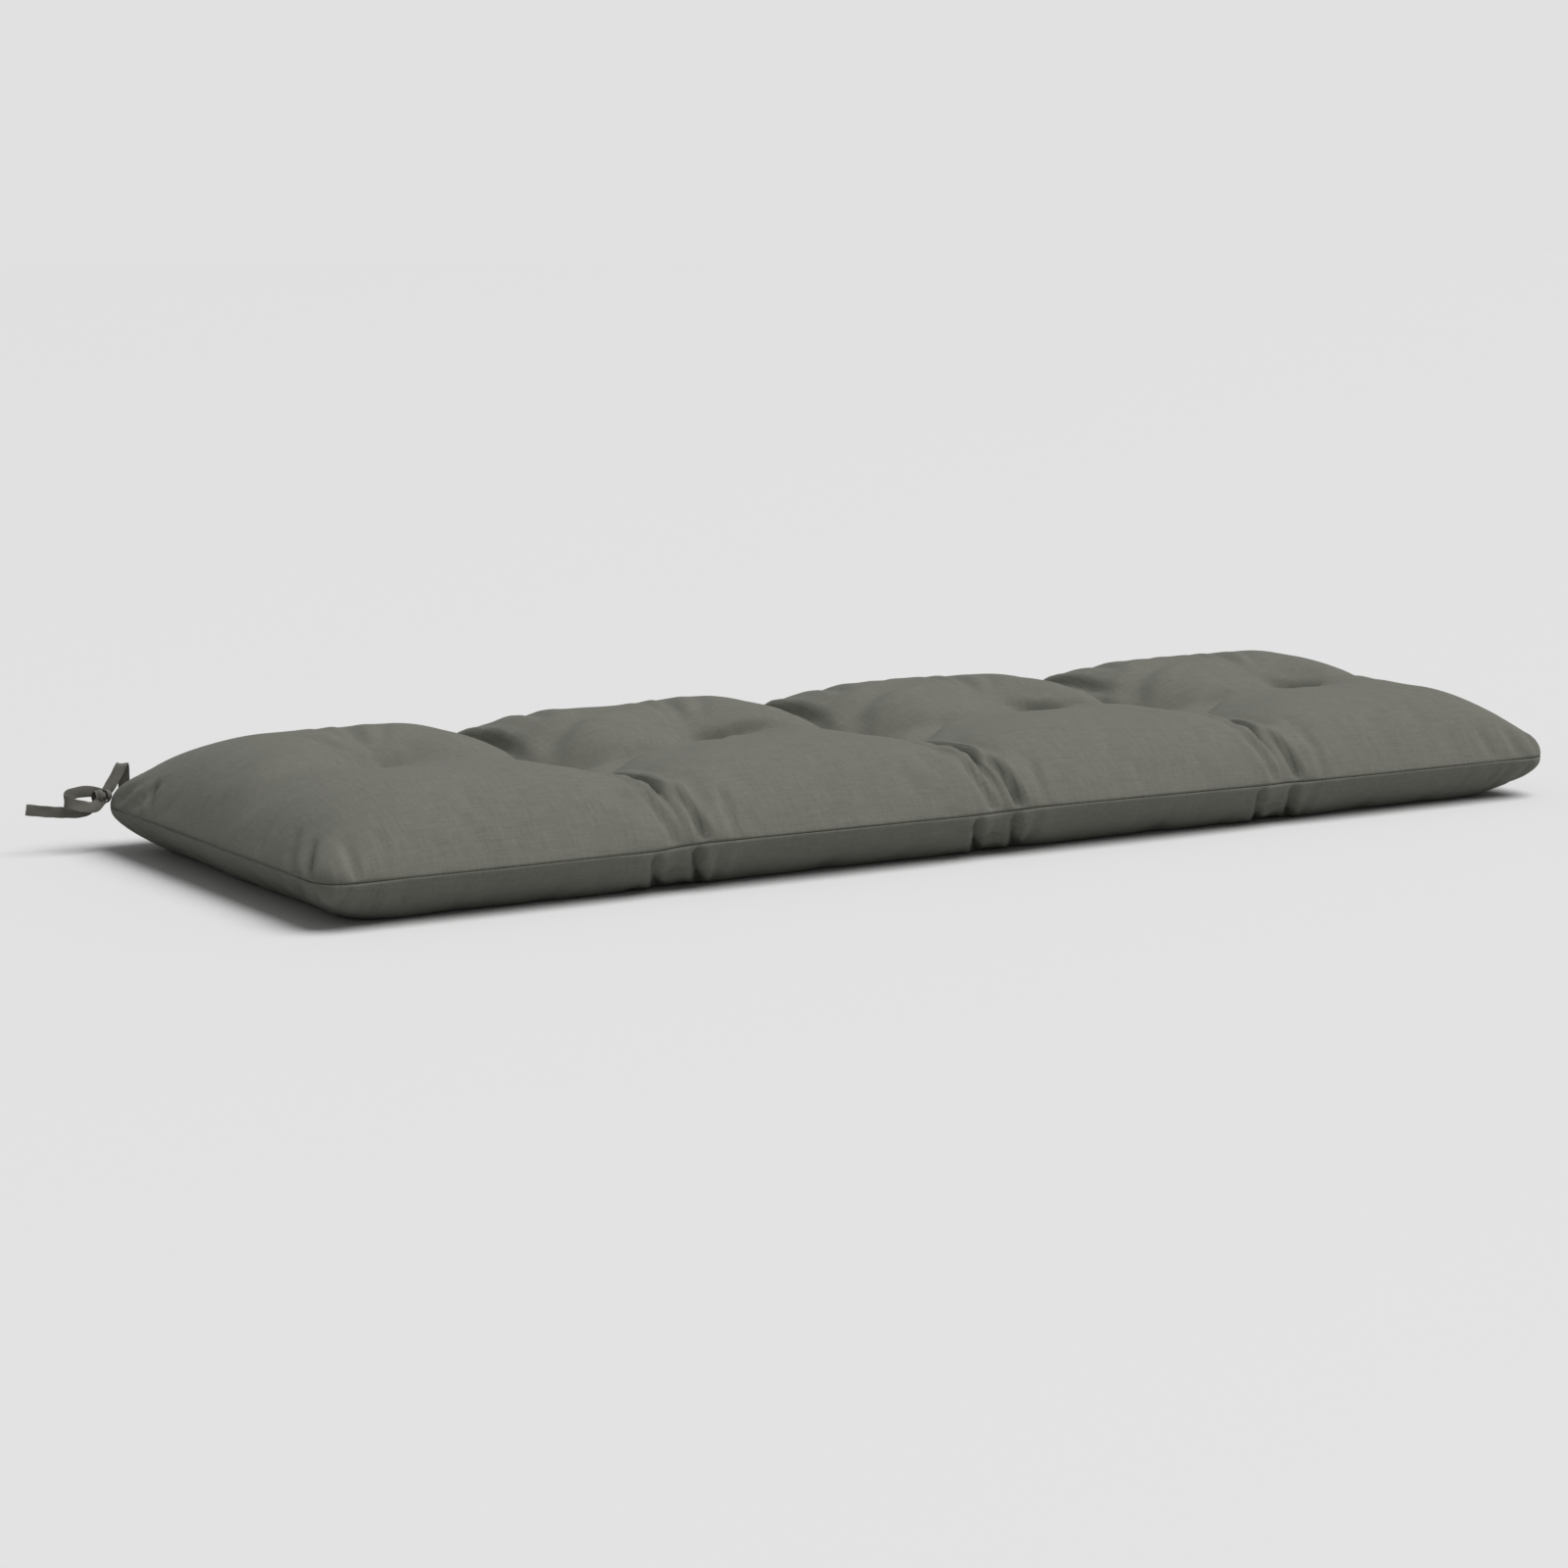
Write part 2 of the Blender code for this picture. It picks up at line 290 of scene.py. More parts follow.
def softened(field, cells):
    # averaged over the neighbours within this many mesh cells
    reach = int(3 * cells) + 1
    bell = np.exp(-0.5 * (np.arange(-reach, reach + 1) / cells) ** 2)
    bell /= bell.sum()
    for axis in (0, 1):
        pad = [(0, 0)] * field.ndim
        pad[axis] = (reach, reach)
        wide = np.pad(field, pad, mode="edge")
        field = sum(w * np.take(wide, np.arange(k, k + field.shape[axis]), axis)
                    for k, w in enumerate(bell))
    return field


# filling: the cover is held at its seam, tufts and channels, and blown up
filling = {
    "frames": 20,
    "pressure": 4.0,
    "startSize": 0.95,        # the cover starts a little under its filled height
    "looseness": 0.014,       # spare cloth everywhere
    "gathered": 0.09,         # spare cloth at the ends of the channels and round the corners
    "gatheredReach": {"channel": (0.035, 0.09), "corner": (0.08, 0.08), "tuft": (0.06, 0.06)},
    "tuftSpare": 0.5,
    "tuftHold": (0.010, 0.010),       # how far round a stitch the cover is held
    "knotHold": (0.010, 0.014),
    "channelHold": {"part": 0.5, "width": 0.005},
    "leastHold": 0.03,                # points held or loosened less than this are left free
    "cap": 0.022,             # furthest that a point may move
    "mass": 0.3, "bending": 0.05, "tension": 25.0, "shear": 5, "airDamping": 2, "quality": 5,
    "meshStep": 0.0066,
    "edgeRows": (0.0, 0.003),
    "broad": 5.0,             # mesh cells over which the broad swelling is averaged and left out
    "smooth": 1.2,            # mesh cells over which the folds are smoothed on the finished cover
}


def heldAndSpare(grid):
    # how firmly each point of the cover is held and how much spare cloth it has, from 0 to 1
    inner = ~grid["seam"].ravel()
    x, y = (np.concatenate([grid[key].ravel(), grid[key].ravel()[inner]]) for key in ("x", "y"))
    channel, reach = filling["channelHold"], filling["gatheredReach"]
    held = np.maximum.reduce(
        [hollow(x - tuftX, y - tuftY, *filling["tuftHold"]) for tuftX, tuftY, _ in tufts]
        + [hollow(x - place, y, *filling["knotHold"]) for place in channelPlaces]
        + [channel["part"] * np.exp(-(((x - place) / channel["width"]) ** 2)) for place in channelPlaces])
    held[:grid["x"].size][grid["seam"].ravel()] = 1.0
    toEndSeam, toLongSeam = cushion["length"] / 2 - abs(x), cushion["depth"] / 2 - abs(y)
    spare = np.maximum.reduce(
        [hollow(x - place, toLongSeam, *reach["channel"]) for place in channelPlaces]
        + [hollow(toEndSeam, toLongSeam, *reach["corner"])]
        + [filling["tuftSpare"] * hollow(x - tuftX, y, *reach["tuft"]) for tuftX, *_ in tufts])
    return held, spare


def fillCover():
    grid = layCover(filling["meshStep"], filling["edgeRows"])
    rises = [filling["startSize"] * riseAt(grid["x"], grid["y"], panel) * side
             for panel, side in ((topPanel, 1), (basePanel, -1))]
    top, base = (panelPoints(grid, rise) for rise in rises)
    pad = makeCover("filling", grid, top, base)
    held, spare = heldAndSpare(grid)
    for name, values in (("held", held), ("spare", spare)):
        group = pad.vertex_groups.new(name=name)
        for k in np.flatnonzero(values > filling["leastHold"]):
            group.add([int(k)], float(min(values[k], 1)), "REPLACE")
    swelling = pad.modifiers.new("swelling", "CLOTH")
    settings = swelling.settings
    settings.quality = filling["quality"]
    settings.mass = filling["mass"]
    settings.tension_stiffness = settings.compression_stiffness = filling["tension"]
    settings.shear_stiffness = filling["shear"]
    settings.bending_stiffness = filling["bending"]
    settings.air_damping = filling["airDamping"]
    settings.vertex_group_mass = "held"
    settings.vertex_group_shrink = "spare"
    settings.shrink_min = -filling["looseness"]
    settings.shrink_max = -filling["gathered"]
    settings.use_pressure = True
    settings.uniform_pressure_force = filling["pressure"]
    settings.effector_weights.gravity = 0
    swelling.collision_settings.use_collision = False
    for step in range(1, filling["frames"] + 1):
        scene.frame_set(step)
    filled = pad.evaluated_get(bpy.context.evaluated_depsgraph_get()).data
    points = np.empty(len(filled.vertices) * 3)
    filled.vertices.foreach_get("co", points)
    points = points.reshape(-1, 3)
    scene.frame_set(1)
    moves = []
    for index, before in ((grid["topIndex"], top), (grid["baseIndex"], base)):
        move = points[index.ravel()].reshape(before.shape) - before
        far = np.linalg.norm(move, axis=2, keepdims=True)
        move *= np.minimum(1, filling["cap"] / np.maximum(far, 1e-9))
        moves.append(move - softened(move, filling["broad"]))    # folds stay, broad swelling goes
    bpy.data.objects.remove(pad)
    return grid, moves


def carriedTo(fine, coarse, move):
    # the same move on the fine grid
    wide = np.stack([[np.interp(fine["columns"], coarse["columns"], row) for row in move[..., k]]
                     for k in range(3)], -1)
    tall = np.stack([[np.interp(fine["rows"], coarse["rows"], wide[:, j, k]) for j in range(wide.shape[1])]
                     for k in range(3)], -1)
    return softened(np.swapaxes(tall, 0, 1), filling["smooth"])


# creases given one by one: a route of (sections across, part of the depth), width and depth in metres; these
# end soft at both ends, while gathers and puckers stay open down to the seam
def creaseOf(route, width, deep):
    return {"route": [(acrossPlace(u), depthPlace(v)) for u, v in route], "width": width, "deep": deep,
            "taper": 0.0, "atSeam": False}


def topCreases():
    rows = []
    for k in (1, 2, 3):
        rows += [
            creaseOf(((k + 0.01, 0.51), (k + 0.10, 0.60), (k + 0.24, 0.66), (k + 0.42, 0.69)), 0.013, 0.0050),
            creaseOf(((k, 0.48), (k - 0.03, 0.65), (k - 0.04, 0.80), (k - 0.01, 0.92)), 0.009, 0.0065),
            creaseOf(((k + 0.01, 0.34), (k + 0.12, 0.39), (k + 0.27, 0.44), (k + 0.42, 0.48)), 0.013, 0.0085),
            creaseOf(((k - 0.02, 0.52), (k - 0.12, 0.58), (k - 0.22, 0.60)), 0.008, 0.0030),
            creaseOf(((k + 0.18, 0.88), (k + 0.17, 0.78), (k + 0.14, 0.68)), 0.009, 0.0038),
            creaseOf(((k + 0.38, 0.87), (k + 0.36, 0.80), (k + 0.34, 0.74)), 0.007, 0.0015),
        ]
    lips = (((0.38, 0.480), (0.50, 0.475), (0.74, 0.420)), ((1.46, 0.540), (1.60, 0.525), (1.76, 0.510)),
            ((2.55, 0.555), (2.72, 0.480), (2.86, 0.500)), ((3.52, 0.550), (3.69, 0.465), (3.83, 0.475)))
    for k, lip in enumerate(lips):
        rows += [
            creaseOf(lip, 0.008, 0.0085),
            creaseOf(((k + 0.50, 0.55), (k + 0.53, 0.66), (k + 0.59, 0.80)), 0.008, 0.0045),
            creaseOf(((k + 0.47, 0.56), (k + 0.48, 0.66), (k + 0.51, 0.80)), 0.007, 0.0030),
            creaseOf(((k + 0.53, 0.56), (k + 0.62, 0.66), (k + 0.70, 0.78)), 0.007, 0.0022),
            creaseOf(((k + 0.49, 0.50), (k + 0.47, 0.42), (k + 0.42, 0.34)), 0.007, 0.0018),
        ]
    rows += [creaseOf(((0.44, 0.55), (0.40, 0.60), (0.35, 0.66)), 0.007, 0.0028),
             creaseOf(((0.060, 0.835), (0.034, 0.807), (0.009, 0.775)), 0.0032, 0.0050)]
    return rows


# gathers where a channel meets the long seams: metres from the channel's line and from the seam
topGathers = {
    "along": ((-0.002, 0.000, 0.004, 0.007), (0.015, 0.018, 0.024), (0.062, 0.056, 0.053),
              (-0.016, -0.009, -0.005)),
    "in": ((0.205, 0.130, 0.070, 0.006), (0.062, 0.034, 0.000), (0.045, 0.020, 0.000),
           (0.045, 0.018, 0.000)),
    "taper": (0.55, 0.0, 0.0, 0.0),      # the part of its width that a gather loses towards the seam
    "shift": (0.0, -0.003, -0.012),      # of all the gathers at each channel
    "backPart": 0.4,                     # the back's gathers are this much of the front's depth
    "width": (0.0092, 0.0044, 0.0050, 0.0045),
    "deep": (0.0225, 0.0082, 0.0026, 0.0045),
}
baseGathers = {
    "along": ((0.004, -0.012, -0.027), (0.046, 0.030, 0.015), (-0.016, -0.002, 0.014),
              (0.056, 0.048, 0.040)),
    "in": ((0.048, 0.026, 0.000), (0.048, 0.026, 0.000), (0.016, 0.014, 0.014),
           (0.040, 0.020, 0.000)),
    "taper": (0.0, 0.0, 0.0, 0.0),
    "shift": (0.0, 0.0, -0.010),
    "backPart": 0.8,
    "width": (0.0036, 0.0034, 0.0035, 0.0050),
    "deep": (0.0085, 0.0090, 0.0035, 0.0022),
}
# how much the gathers differ in depth and place, and how far the back's spread beside the front's
gatherVariety = {"deep": 0.18, "spread": 0.1, "backSpread": 0.9}
# small puckers beside each corner: metres from the corner along the long seam, and how far in they reach
cornerPuckers = {
    "along": (0.022, 0.036, 0.052, 0.074, 0.105),
    "reach": (0.030, 0.024, 0.032, 0.022, 0.018),
    "deep": (0.0026, 0.0018, 0.0022, 0.0014, 0.0010),
    "width": 0.0042,
    "lean": 0.25,
    "wander": {"along": 0.006, "deep": 0.35, "reach": 0.25},     # how much they differ
    # the ones on the end seam: their own lean, and so many times as far along and as deep
    "endSeam": {"along": 1.2, "lean": 0.6, "deep": 1.1},
}
# across a crease: the lips that stand up beside it; along it: how it fades out at its ends
creaseShape = {"lip": 0.28, "lipPlace": 1.9, "endDeep": 0.12, "fadeOver": 0.45}


def gatherCreases(table):
    rows = []
    for number, (place, shift) in enumerate(zip(channelPlaces, table["shift"])):
        for along, inwards, width, deep, taper in zip(
                *(table[key] for key in ("along", "in", "width", "deep", "taper"))):
            for side in (-1, 1):
                turn = 1 if side < 0 else -gatherVariety["backSpread"]   # the back is the front turned round
                size = 1 + gatherVariety["deep"] * math.sin(2.3 * number + 40 * along[0] + side)
                spread = 1 - gatherVariety["spread"] + gatherVariety["spread"] * size
                part = 1 if side < 0 else table["backPart"]
                route = [(place + turn * (shift + a * spread), side * (cushion["depth"] / 2 - b))
                         for a, b in zip(along, inwards)]
                rows.append({"route": route, "width": width, "deep": deep * size * part, "taper": taper,
                             "atSeam": inwards[-1] == 0})
    return rows


def cornerCreases(table, phase):
    rows = []
    wander, endSeam = table["wander"], table["endSeam"]
    for sx in (-1, 1):
        for sy in (-1, 1):
            for number, (along, reach, deep) in enumerate(zip(table["along"], table["reach"], table["deep"])):
                wave = math.sin(3.1 * number + 1.7 * sx + 2.9 * sy + phase)
                near = along + wander["along"] * wave
                size = deep * (1 + wander["deep"] * math.sin(5.3 * number + sx - 2 * sy + phase))
                length = reach * (1 + wander["reach"] * wave)
                onLongSeam = (sx * (cushion["length"] / 2 - near), sy * cushion["depth"] / 2)
                nearEnd = near * endSeam["along"]
                onEndSeam = (sx * cushion["length"] / 2, sy * (cushion["depth"] / 2 - nearEnd))
                for (x, y), lean, depth in ((onLongSeam, table["lean"], size),
                                            (onEndSeam, endSeam["lean"], endSeam["deep"] * size)):
                    rows.append({"route": [(x - sx * lean * length, y - sy * length), (x, y)],
                                 "width": table["width"], "deep": depth, "taper": 0.0, "atSeam": True})
    return rows


def toRoute(x, y, route):
    # the distance to the nearest point of a route, and how far along the route that point is, from 0 to 1
    nearest = np.full(x.shape, 9.0)
    along = np.zeros(x.shape)
    points = [np.array(point) for point in route]
    lengths = [np.linalg.norm(b - a) for a, b in zip(points, points[1:])]
    gone = 0.0
    for a, b, length in zip(points, points[1:], lengths):
        t = np.clip(((x - a[0]) * (b - a)[0] + (y - a[1]) * (b - a)[1]) / length**2, 0, 1)
        far = np.hypot(x - a[0] - t * (b - a)[0], y - a[1] - t * (b - a)[1])
        along = np.where(far < nearest, gone + t * length, along)
        nearest = np.minimum(nearest, far)
        gone += length
    return nearest, along / gone


def creased(x, y, rows):
    sink = np.zeros(x.shape)
    for crease in rows:
        far, along = toRoute(x, y, crease["route"])
        rising = smoothStep(creaseShape["endDeep"] + along / creaseShape["fadeOver"])
        falling = smoothStep(creaseShape["endDeep"] + (1 - along) / creaseShape["fadeOver"])
        fade = rising if crease["atSeam"] else rising * falling
        width = crease["width"] * (1 - crease["taper"] * along)
        valley = np.exp(-((far / width) ** 2))
        lips = creaseShape["lip"] * np.exp(-(((far - creaseShape["lipPlace"] * width) / width) ** 2))
        sink = sink + crease["deep"] * fade * (valley - lips)
    return sink


def toSeam(grid):
    # how far each point is from the nearest seam
    return np.minimum(cushion["length"] / 2 - abs(grid["x"]), cushion["depth"] / 2 - abs(grid["y"]))


def pushedIn(grid, points, sink, side):
    # along the panel's own normal
    alongX, alongY = np.gradient(points, axis=1), np.gradient(points, axis=0)
    normal = np.cross(alongX, alongY) * side
    normal /= np.maximum(np.linalg.norm(normal, axis=2, keepdims=True), 1e-12)
    fade = smoothStep(toSeam(grid) / cushion["seamPlain"])
    return points - normal * (sink * fade)[..., None]


def tuckSeam(grid, points):
    # the seam's own points go in, and the cloth beside it rolls out a little
    ridge = (cushion["length"] - cushion["depth"]) / 2
    middle = np.stack([np.clip(points[..., 0], -ridge, ridge), np.zeros(grid["x"].shape)], -1)
    inwards = middle - points[..., :2]
    endwards = (cushion["length"] / 2 - abs(grid["x"])) < (cushion["depth"] / 2 - abs(grid["y"]))
    direction = np.where(endwards[..., None], [1, 0], [0, 1]) * np.sign(inwards)
    direction = direction / np.maximum(np.linalg.norm(direction, axis=2, keepdims=True), 1e-9)
    roll = cushion["seamRoll"]
    beside = roll["part"] * np.exp(-(((toSeam(grid) - roll["width"]) / roll["width"]) ** 2))
    move = cushion["seamTuck"] * (grid["seam"] - beside * ~grid["seam"])
    points = points.copy()
    points[..., :2] += direction * move[..., None]
    return points


# the finished cover
fineGrid = layCover(cushion["meshStep"], cushion["edgeRows"])
topSmooth = panelPoints(fineGrid, riseAt(fineGrid["x"], fineGrid["y"], topPanel))
baseSmooth = panelPoints(fineGrid, -riseAt(fineGrid["x"], fineGrid["y"], basePanel))
topSink = creased(fineGrid["x"], fineGrid["y"], topCreases() + gatherCreases(topGathers)
                  + cornerCreases(cornerPuckers, 0.4))
baseSink = creased(fineGrid["x"], fineGrid["y"], gatherCreases(baseGathers)
                   + cornerCreases(cornerPuckers, 2.0))
topShape = pushedIn(fineGrid, topSmooth, topSink, 1)
baseShape = pushedIn(fineGrid, baseSmooth, baseSink, -1)
coarseGrid, moves = fillCover()
topShape = topShape + carriedTo(fineGrid, coarseGrid, moves[0])
baseShape = baseShape + carriedTo(fineGrid, coarseGrid, moves[1])
print("the filling has settled")
topShape, baseShape = tuckSeam(fineGrid, topShape), tuckSeam(fineGrid, baseShape)
baseShape[..., 2] = np.maximum(baseShape[..., 2], 0)
cover = makeCover("cushion_cover", fineGrid, topShape, baseShape)
cover.data.shade_smooth()
# where each corner of each face lies on the cloth
corners = [clothPlaces(points)[rows, columns] for points, upwards in ((topSmooth, True), (baseSmooth, False))
           for rows, columns in [cornerOrder(fineGrid, upwards)]]
markCloth(cover, np.concatenate(corners))
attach(cover, "root")
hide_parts("cushion")
print("cushion cover:", len(cover.data.polygons), "faces")


# a tie is one length of woven tape, sewn into the seam at a back corner and tied in a loose bow
tie = {
    "width": 0.0106,
    "thickness": 0.0009,
    "curl": 0.0006,           # the tape's edges turn up this much, changing along it by curlWaves
    "curlWaves": 160,
    "waver": 0.03,            # its width changes by this part, by waverWaves
    "waverWaves": 420,
    "squareEdge": 0.55,       # how much thinner the very edges are
    "sharpFrom": 50,          # degrees
    "knot": (0.0035, -0.0135, 0.0095),
    "knotSize": (0.0058, 0.0046, 0.0046),
    "knotFolds": {"count": 4, "deep": 0.10, "twist": 1.5},
    # turns of the tape round the knot: radius, tilt in degrees, width as pressed, place along the knot
    "wraps": ((0.0058, 24, 0.0048, -0.0032), (0.0064, -16, 0.0046, 0.0026), (0.0054, 4, 0.0040, 0.0064)),
    "wrapWobble": 0.06,
    "steps": {"run": 9, "wrap": 40, "across": 9, "knotRound": 28, "knotRows": 13},
}
# each row: metres out from the end, back from the back edge and up from the seam, then the direction of the
# tape's width there
tieRuns = {
    "upright": ((-0.0215, -0.0008, 0.0000, 0.95, 0.20, 0.00), (-0.0232, -0.0005, 0.0120, 0.95, 0.30, 0.02),
                (-0.0238, -0.0005, 0.0255, 0.97, 0.25, 0.05), (-0.0222, -0.0028, 0.0358, 1.00, 0.05, 0.05),
                (-0.0188, -0.0068, 0.0362, 1.00, 0.00, -0.10), (-0.0115, -0.0095, 0.0262, 0.90, -0.05, -0.38),
                (-0.0040, -0.0120, 0.0165, 0.86, -0.10, -0.45),
                (0.0022, -0.0135, 0.0100, 0.85, -0.15, -0.48)),
    "side": ((0.0040, -0.0110, 0.0110, 0, 0.25, 0.95), (0.0130, -0.0075, 0.0140, 0, 0.20, 0.95),
             (0.0250, -0.0060, 0.0138, 0, 0.15, 0.95), (0.0360, -0.0085, 0.0118, 0, 0.20, 0.95),
             (0.0410, -0.0145, 0.0085, 0, 0.25, 0.95), (0.0365, -0.0205, 0.0060, 0, 0.30, 0.95),
             (0.0260, -0.0235, 0.0030, 0, 0.35, 0.93), (0.0140, -0.0215, 0.0016, 0, 0.35, 0.93),
             (0.0035, -0.0160, 0.0080, 0, 0.30, 0.95)),
    "end": ((0.0050, -0.0120, 0.0070, 0.00, -0.30, 0.95), (0.0120, -0.0105, -0.0005, 0.15, -0.30, 0.90),
            (0.0220, -0.0115, -0.0042, 0.05, -0.30, 0.92), (0.0450, -0.0130, -0.0026, 0.00, -0.14, 0.97),
            (0.0790, -0.0140, 0.0030, 0.00, 0.00, 1.00)),
}


def smoothRun(rows, steps):
    # a smooth line through all the rows
    rows = np.array(rows, float)
    ends = np.vstack([2 * rows[0] - rows[1], rows, 2 * rows[-1] - rows[-2]])
    t = np.linspace(0, 1, steps, endpoint=False)[:, None]
    spans = [0.5 * (2 * b + (c - a) * t + (2 * a - 5 * b + 4 * c - d) * t**2 + (3 * b - a - 3 * c + d) * t**3)
             for a, b, c, d in zip(ends, ends[1:], ends[2:], ends[3:])]
    return np.vstack(spans + [rows[-1:]])


# one closed strip of tape: its points, faces and cloth places
def tapeStrip(centres, widths, width, closedRound=False, phase=0.0):
    ahead = np.roll(centres, -1, 0) - np.roll(centres, 1, 0) if closedRound else np.gradient(centres, axis=0)
    ahead /= np.linalg.norm(ahead, axis=1, keepdims=True)
    widths = widths - ahead * np.sum(widths * ahead, axis=1, keepdims=True)
    widths /= np.linalg.norm(widths, axis=1, keepdims=True)
    faceUp = np.cross(ahead, widths)
    steps = np.linalg.norm(np.diff(centres, axis=0, prepend=centres[:1]), axis=1)
    run = np.cumsum(steps)
    across = np.linspace(-0.5, 0.5, tie["steps"]["across"])
    edge = 1 + tie["waver"] * np.sin(run * tie["waverWaves"] + phase)
    bend = tie["curl"] * np.sin(run * tie["curlWaves"] + 2 * phase)[:, None] * (4 * across**2 - 0.3)
    rings = []
    for side in (1, -1):
        order = across if side > 0 else across[::-1]
        bends = bend if side > 0 else bend[:, ::-1]
        lift = side * tie["thickness"] / 2 * (1 - tie["squareEdge"] * (2 * abs(order)) ** 6)
        rings.append(centres[:, None] + widths[:, None] * (order * width)[None, :, None] * edge[:, None, None]
                     + faceUp[:, None] * (bends + lift[None, :])[..., None])
    ring = np.concatenate(rings, 1)
    count, around = ring.shape[:2]
    index = np.arange(count * around).reshape(count, around)
    after = np.roll(index, -1, 1)
    pairs = list(zip(range(count), range(1, count))) + ([(count - 1, 0)] if closedRound else [])
    faces = [(index[i, k], after[i, k], after[j, k], index[j, k]) for i, j in pairs for k in range(around)]
    if not closedRound:
        half = around // 2
        for row, flip in ((0, False), (count - 1, True)):
            for k in range(half - 1):
                cap = tuple(index[row, place] for place in (k, k + 1, around - 2 - k, around - 1 - k))
                faces.append(cap if flip else cap[::-1])
    places = np.stack([np.broadcast_to(np.concatenate([across, across[::-1]]) * width, (count, around)),
                       np.broadcast_to(run[:, None], (count, around))], -1)
    total = run[-1] + (np.linalg.norm(centres[0] - centres[-1]) if closedRound else 0)
    return ring.reshape(-1, 3), faces, places.reshape(-1, 2), float(total)


def knotCore():
    # the crumpled middle of the knot
    steps, folds = tie["steps"], tie["knotFolds"]
    turnLine = np.linspace(0, 2 * np.pi, steps["knotRound"], endpoint=False)
    riseLine = np.linspace(-1, 1, steps["knotRows"] + 2)[1:-1] * np.pi / 2
    turns, rises = np.meshgrid(turnLine, riseLine)
    size = 1 + folds["deep"] * np.cos(folds["count"] * turns + folds["twist"] * rises) * np.cos(rises)
    points = np.stack([np.cos(turns) * np.cos(rises), np.sin(turns) * np.cos(rises), np.sin(rises)], -1)
    points = (points * size[..., None]).reshape(-1, 3) * tie["knotSize"]
    rows, columns = rises.shape
    index = np.arange(rows * columns).reshape(rows, columns)
    after = np.roll(index, -1, 1)
    faces = [(index[i, k], after[i, k], after[i + 1, k], index[i + 1, k]) for i in range(rows - 1)
             for k in range(columns)]
    top, bottom = rows * columns, rows * columns + 1
    points = np.vstack([points, [(0, 0, tie["knotSize"][2])], [(0, 0, -tie["knotSize"][2])]])
    faces += [(index[-1, k], after[-1, k], top) for k in range(columns)]
    faces += [(after[0, k], index[0, k], bottom) for k in range(columns)]
    return points, faces, points[:, :2]


def makeTie(name, side):
    points, faces, places, length = [], [], [], 0.0
    origin = np.array((side * cushion["length"] / 2, cushion["depth"] / 2, cushion["seamHeight"]))

    def add(newPoints, newFaces, newPlaces):
        start = sum(len(p) for p in points)
        world = newPoints * (side, 1, 1) + origin
        points.append(world)
        turned = [face[::-1] for face in newFaces] if side < 0 else newFaces
        faces.extend([tuple(int(k) + start for k in face) for face in turned])
        places.append(newPlaces)

    for number, rows in enumerate(tieRuns.values()):
        run = smoothRun(rows, tie["steps"]["run"])
        strip, stripFaces, stripPlaces, stripLength = tapeStrip(run[:, :3], run[:, 3:], tie["width"],
                                                                phase=number)
        add(strip, stripFaces, stripPlaces)
        length += stripLength
    centre = np.array(tie["knot"])
    for number, (radius, tilt, width, place) in enumerate(tie["wraps"]):
        turn = np.linspace(0, 2 * np.pi, tie["steps"]["wrap"], endpoint=False)
        lean = math.radians(tilt)
        wobble = 1 + tie["wrapWobble"] * np.sin(3 * turn + number)
        ring = np.stack([radius * np.sin(lean) * np.cos(turn), radius * np.cos(lean) * np.cos(turn),
                         radius * np.sin(turn)], -1) * wobble[:, None]
        axis = np.broadcast_to((np.cos(lean), -np.sin(lean), 0.0), ring.shape)
        strip, stripFaces, stripPlaces, stripLength = tapeStrip(ring, axis, width, True, number)
        add(strip + centre + (place, 0, 0), stripFaces, stripPlaces)
        length += stripLength
    core, coreFaces, corePlaces = knotCore()
    add(core + centre, coreFaces, corePlaces)
    mesh = bpy.data.meshes.new(name)
    mesh.from_pydata(np.vstack(points).tolist(), [], faces)
    mesh.update()
    piece = bpy.data.objects.new(name, mesh)
    scene.collection.objects.link(piece)
    order = np.array([k for face in mesh.polygons for k in face.vertices])
    markCloth(piece, np.vstack(places)[order])
    mesh.shade_smooth()
    mesh.set_sharp_from_angle(angle=math.radians(tie["sharpFrom"]))
    return piece, length


ties = []
for cadName, side in (("tie_left", -1), ("tie_right", 1)):
    piece, tapeLength = makeTie(cadName + "_tape", side)
    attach(piece, "root")
    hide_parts(cadName)
    ties.append(piece)
    print(piece.name, "tape length", round(tapeLength, 3))


# finishes
clothLook = {
    "dark": (0.078, 0.078, 0.066), "light": (0.168, 0.168, 0.143),
    "thread": 0.00105,        # distance between threads
    "relief": 0.00016,
    "roughness": 0.9, "sheen": 0.06, "specular": 0.15,
}
tapeLook = {
    "dark": (0.075, 0.073, 0.062), "light": (0.150, 0.146, 0.124),
    "thread": 0.00065,
    "relief": 0.00010,
    "roughness": 0.85, "sheen": 0.05, "specular": 0.2,
}
# what both cloths share; the noises are in waves for each metre, along a thread and across it
weave = {
    "round": 0.35,            # how soon a thread rises from under the next one
    "fibre": (60, 900), "slub": (22, 260), "cloud": (9, 9),
    "fibrePart": 1.3, "slubPart": 0.28, "weaveHollowShade": 0.35, "cloudPart": 0.10,    # parts in the colour; the crown's part is painted shade, darker in the hollows between the threads
    "middle": 0.43,           # the colour's place between dark and light where nothing else changes it
    "roughnessRange": 0.12, "slubRelief": 0.5, "bump": 0.8, "sheenRoughness": 0.6,
}


def newMaterial(name, colour, roughness):
    material = bpy.data.materials.new(name)
    material.use_nodes = True
    shader = material.node_tree.nodes["Principled BSDF"]
    shader.inputs["Base Color"].default_value = (*colour, 1)
    shader.inputs["Roughness"].default_value = roughness
    return material


